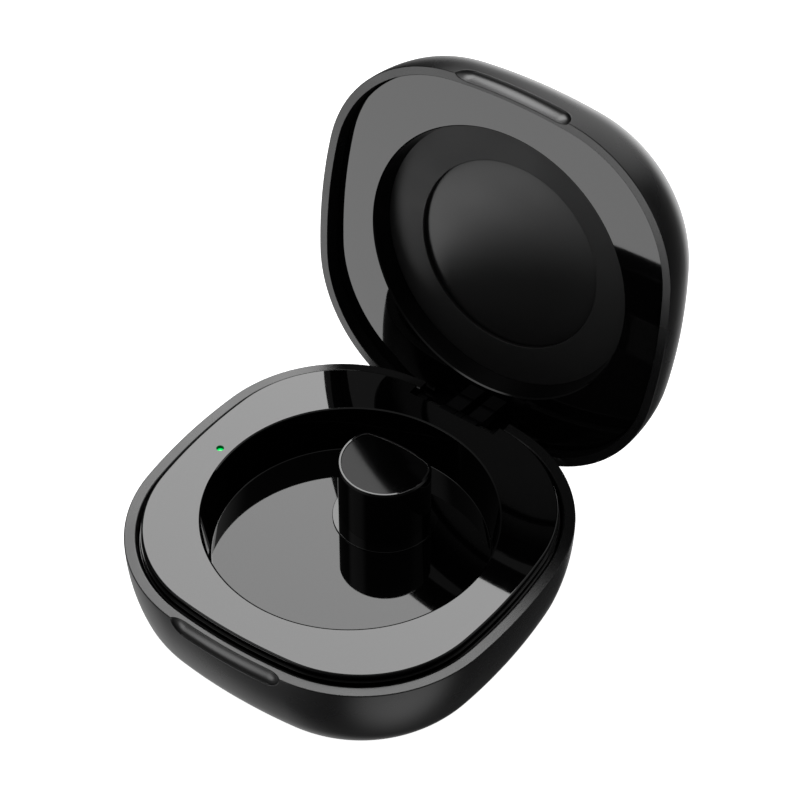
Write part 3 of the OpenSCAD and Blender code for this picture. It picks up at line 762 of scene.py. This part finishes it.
def softbox(name, azimuth, elevation, distance, size, power, centre=(0, 0, 0.03)):
    """Square area light that faces the object from a direction."""
    way = Vector(direction(azimuth, elevation))
    light = bpy.data.lights.new(name, "AREA")
    light.shape = "RECTANGLE"
    light.size, light.size_y = size, size
    light.energy = power
    obj = bpy.data.objects.new(name, light)
    bpy.context.scene.collection.objects.link(obj)
    obj.location = Vector(centre) + way * distance
    obj.rotation_mode = "QUATERNION"
    obj.rotation_quaternion = way.to_track_quat("Z", "Y")


# Soft glows of the studio round the object: azimuth and elevation of the middle, in degrees,
# half widths where each is full and where it ends, and its brightness
GLOWS = (
    (-28, -28, 10, 13, 2.9),
    (-28, -18, 12, 52, 0.22),
    (-168, -22, 6, 30, 1.8),
    (-144, -47, 3, 18, 0.7),
    (-172, 32, 12, 40, 1.0),
    (66, -50, 8, 30, 0.9),
    (-105, -55, 10, 34, 0.5),
    (0, 90, 10, 60, 0.22),
    (-40, 50, 6, 20, 1.2),
    (120, 25, 5, 30, 0.4),
)
DIM = 0.045  # light from everywhere else
BACKDROP = 1.2  # brightness of the background as the camera sees it

CAMERA_AZIMUTH, CAMERA_ELEVATION, CAMERA_ROLL = 35.66, 44.943, -0.068
CAMERA_AT = (0.167026, -0.220605, 0.318597)
CAMERA_LENS = 127.703


def build_lights():
    """Dim studio with soft glows, white behind everything for the camera, and one big softbox."""
    world = bpy.data.worlds.new("studio")
    bpy.context.scene.world = world
    world.use_nodes = True
    nodes, links = world.node_tree.nodes, world.node_tree.links
    background = nodes["Background"]
    coords = nodes.new("ShaderNodeTexCoord")
    total = None
    for azimuth, elevation, full, end, power in GLOWS:
        dot = nodes.new("ShaderNodeVectorMath")
        dot.operation = "DOT_PRODUCT"
        dot.inputs[1].default_value = direction(azimuth, elevation)
        links.new(coords.outputs["Generated"], dot.inputs[0])
        spread = nodes.new("ShaderNodeMapRange")
        spread.interpolation_type = "SMOOTHSTEP"
        spread.inputs["From Min"].default_value = math.cos(math.radians(end))
        spread.inputs["From Max"].default_value = math.cos(math.radians(full))
        spread.inputs["To Min"].default_value = 0
        spread.inputs["To Max"].default_value = power
        links.new(dot.outputs["Value"], spread.inputs["Value"])
        if total is None:
            total = spread.outputs["Result"]
        else:
            add = nodes.new("ShaderNodeMath")
            add.operation = "ADD"
            links.new(total, add.inputs[0])
            links.new(spread.outputs["Result"], add.inputs[1])
            total = add.outputs["Value"]
    dim = nodes.new("ShaderNodeMath")
    dim.operation = "ADD"
    dim.inputs[1].default_value = DIM
    links.new(total, dim.inputs[0])
    path = nodes.new("ShaderNodeLightPath")
    pick = nodes.new("ShaderNodeMix")
    links.new(path.outputs["Is Camera Ray"], pick.inputs["Factor"])
    links.new(dim.outputs["Value"], pick.inputs["A"])
    pick.inputs["B"].default_value = BACKDROP
    links.new(pick.outputs["Result"], background.inputs["Strength"])
    background.inputs["Color"].default_value = (1, 1, 1, 1)
    softbox("key_back_left", azimuth=-144, elevation=45, distance=1.0, size=0.4, power=3.0)


def build_camera():
    """Camera at the photograph's viewing angle."""
    azimuth, roll = math.radians(CAMERA_AZIMUTH), math.radians(CAMERA_ROLL)
    back = Vector(direction(CAMERA_AZIMUTH, CAMERA_ELEVATION))
    right = Vector((math.cos(azimuth), math.sin(azimuth), 0))
    up = back.cross(right)
    turn = Matrix((right, up, back)).transposed() @ Matrix.Rotation(-roll, 3, "Z")
    data = bpy.data.cameras.new("camera")
    data.sensor_width = 36.0
    data.lens = CAMERA_LENS
    data.clip_start, data.clip_end = 0.01, 20
    cam = bpy.data.objects.new("camera", data)
    cam.matrix_world = Matrix.Translation(Vector(CAMERA_AT)) @ turn.to_4x4()
    bpy.context.scene.collection.objects.link(cam)
    bpy.context.scene.camera = cam


build_base_shell()
build_tray()
build_well_floor()
build_post()
build_cap()
build_lens()
build_lid_shell()
build_panel()
build_recess()
build_pad()
dress_cad_nodes()
build_stage()
build_lights()
build_camera()
bpy.context.scene.view_settings.view_transform = "Standard"
